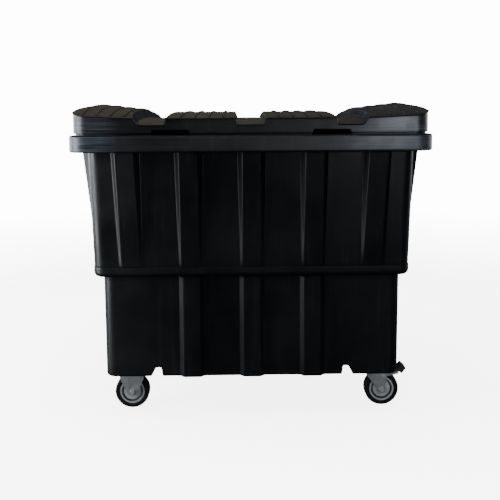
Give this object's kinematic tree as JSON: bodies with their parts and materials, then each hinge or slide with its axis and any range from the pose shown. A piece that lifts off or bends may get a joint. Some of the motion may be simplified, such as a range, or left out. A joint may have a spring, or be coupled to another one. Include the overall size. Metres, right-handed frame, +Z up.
{
  "type": "four-wheeled waste container",
  "caption": "Large ribbed black plastic waste bin with a hinged saddle-shaped lid, fixed castors at one end and braked swivel castors at the other.",
  "frame": {"origin": "on the floor under the centre of the bounding box", "axes": "+X along the length towards the braked swivel castors, +Y from the front towards the lid hinges, +Z up"},
  "size_m": [1.48, 1.125, 1.3428],
  "materials": {
    "body_plastic": "near-black rotationally moulded polyethylene, soft sheen, scuffed",
    "lid_plastic": "near-black rotationally moulded polyethylene, dusty on top",
    "tyre_rubber": "solid black rubber",
    "rim_steel": "zinc plated pressed steel",
    "zinc_steel": "zinc plated pressed steel",
    "hinge_steel": "zinc plated steel rod",
    "fastener_steel": "bright zinc plated fasteners",
    "hard_steel": "polished hardened steel",
    "bush_plastic": "natural nylon",
    "pad_plastic": "black moulded pedal tip"
  },
  "bodies": {
    "container": {"bin_body": "body_plastic", "lid_hinge_pin_left": "hinge_steel", "lid_hinge_pin_centre": "hinge_steel", "lid_hinge_pin_right": "hinge_steel", "lid_hinge_washers": "hinge_steel", "lid_hinge_split_pins": "hinge_steel", "castor_thread_inserts": "fastener_steel", "castor_mounting_screws": "fastener_steel", "castor_mounting_washers": "fastener_steel", "front_left_fork": "zinc_steel", "front_left_axle_sleeve": "zinc_steel", "front_left_axle_bolt": "fastener_steel", "front_left_axle_nut": "fastener_steel", "rear_left_fork": "zinc_steel", "rear_left_axle_sleeve": "zinc_steel", "rear_left_axle_bolt": "fastener_steel", "rear_left_axle_nut": "fastener_steel", "front_right_top_plate": "zinc_steel", "front_right_kingpin": "zinc_steel", "rear_right_top_plate": "zinc_steel", "rear_right_kingpin": "zinc_steel"},
    "lid": {"lid": "lid_plastic"},
    "front_left_wheel": {"front_left_rim_outer": "rim_steel", "front_left_rim_inner": "rim_steel", "front_left_tyre": "tyre_rubber", "front_left_hub_bush": "bush_plastic"},
    "rear_left_wheel": {"rear_left_rim_outer": "rim_steel", "rear_left_rim_inner": "rim_steel", "rear_left_tyre": "tyre_rubber", "rear_left_hub_bush": "bush_plastic"},
    "front_right_swivel": {"front_right_fork": "zinc_steel", "front_right_axle_sleeve": "zinc_steel", "front_right_axle_bolt": "fastener_steel", "front_right_axle_nut": "fastener_steel", "front_right_swivel_balls": "hard_steel", "front_right_pedal_rivets": "fastener_steel", "front_right_brake_spring": "zinc_steel"},
    "front_right_wheel": {"front_right_rim_outer": "rim_steel", "front_right_rim_inner": "rim_steel", "front_right_tyre": "tyre_rubber", "front_right_hub_bush": "bush_plastic"},
    "front_right_brake": {"front_right_brake_pedal": "zinc_steel", "front_right_pedal_pad": "pad_plastic"},
    "rear_right_swivel": {"rear_right_fork": "zinc_steel", "rear_right_axle_sleeve": "zinc_steel", "rear_right_axle_bolt": "fastener_steel", "rear_right_axle_nut": "fastener_steel", "rear_right_swivel_balls": "hard_steel", "rear_right_pedal_rivets": "fastener_steel", "rear_right_brake_spring": "zinc_steel"},
    "rear_right_wheel": {"rear_right_rim_outer": "rim_steel", "rear_right_rim_inner": "rim_steel", "rear_right_tyre": "tyre_rubber", "rear_right_hub_bush": "bush_plastic"},
    "rear_right_brake": {"rear_right_brake_pedal": "zinc_steel", "rear_right_pedal_pad": "pad_plastic"}
  },
  "joints": [
    {"name": "lid_hinge", "type": "hinge", "parent": "container", "child": "lid", "pos_m": [0, 0.5455, 1.238], "axis": [-1, 0, 0], "range_deg": [0, 250]},
    {"name": "front_left_wheel_spin", "type": "hinge", "parent": "container", "child": "front_left_wheel", "pos_m": [-0.53, -0.2875, 0.075], "axis": [0, 1, 0], "continuous": true},
    {"name": "rear_left_wheel_spin", "type": "hinge", "parent": "container", "child": "rear_left_wheel", "pos_m": [-0.53, 0.2125, 0.075], "axis": [0, 1, 0], "continuous": true},
    {"name": "front_right_castor_swivel", "type": "hinge", "parent": "container", "child": "front_right_swivel", "pos_m": [0.53, -0.2875, 0.176], "axis": [0, 0, 1], "continuous": true},
    {"name": "front_right_wheel_spin", "type": "hinge", "parent": "front_right_swivel", "child": "front_right_wheel", "pos_m": [0.575, -0.2875, 0.075], "axis": [0, 1, 0], "continuous": true},
    {"name": "front_right_brake_pedal_travel", "type": "hinge", "parent": "front_right_swivel", "child": "front_right_brake", "pos_m": [0.583, -0.2875, 0.137], "axis": [0, 1, 0], "range_deg": [0, 6.8]},
    {"name": "rear_right_castor_swivel", "type": "hinge", "parent": "container", "child": "rear_right_swivel", "pos_m": [0.53, 0.2125, 0.176], "axis": [0, 0, 1], "continuous": true},
    {"name": "rear_right_wheel_spin", "type": "hinge", "parent": "rear_right_swivel", "child": "rear_right_wheel", "pos_m": [0.575, 0.2125, 0.075], "axis": [0, 1, 0], "continuous": true},
    {"name": "rear_right_brake_pedal_travel", "type": "hinge", "parent": "rear_right_swivel", "child": "rear_right_brake", "pos_m": [0.583, 0.2125, 0.137], "axis": [0, 1, 0], "range_deg": [0, 6.8]}
  ]
}
